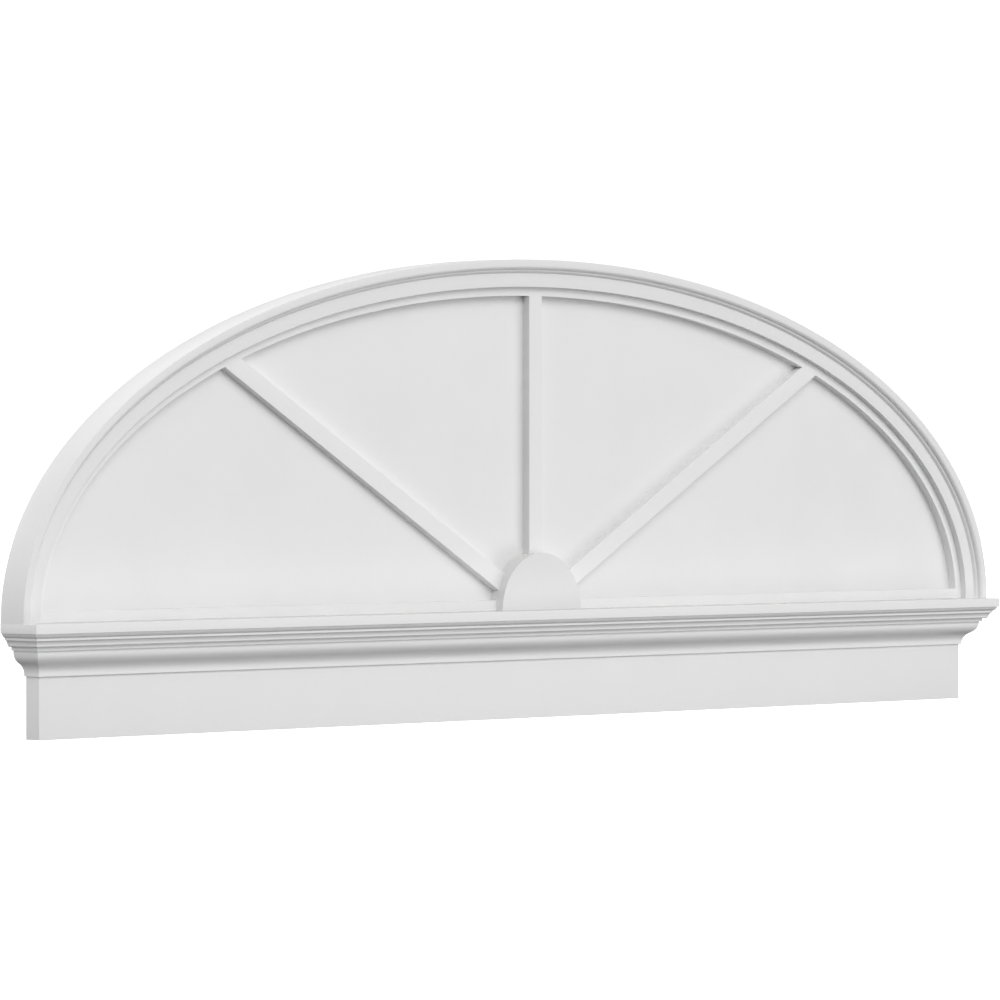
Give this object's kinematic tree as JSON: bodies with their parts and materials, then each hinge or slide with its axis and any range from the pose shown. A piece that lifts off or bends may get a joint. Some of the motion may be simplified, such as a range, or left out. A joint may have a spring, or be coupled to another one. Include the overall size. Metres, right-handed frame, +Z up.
{
  "type": "arched pediment",
  "caption": "Half-elliptical sunburst pediment on a moulded crosshead, fixed flat to a wall to crown a door or window.",
  "frame": {"origin": "middle of the fascia board's back face, on the wall plane", "axes": "+Z up, +X along the width to the right seen from the front, +Y into the wall, so the front faces -Y"},
  "size_m": [1.9558, 0.0694, 0.6436],
  "materials": {
    "fascia": "smooth flat-sheet white cellular PVC, low satin",
    "crown": "smooth moulded white cellular PVC, low satin, crisp arrises",
    "arch": "routed white cellular PVC, low satin, eased arrises",
    "tympanum": "smooth flat-sheet white cellular PVC, matte",
    "sunburst": "routed flat-sheet white cellular PVC, low satin, eased arrises",
    "hub": "routed white cellular PVC, low satin, eased arrises"
  },
  "bodies": {
    "root": {"fascia_board": "fascia", "crown_front": "crown", "crown_return_left": "crown", "crown_return_right": "crown", "arch_moulding": "arch", "tympanum_panel": "tympanum", "sunburst_frame": "sunburst", "hub_block": "hub"}
  },
  "joints": []
}
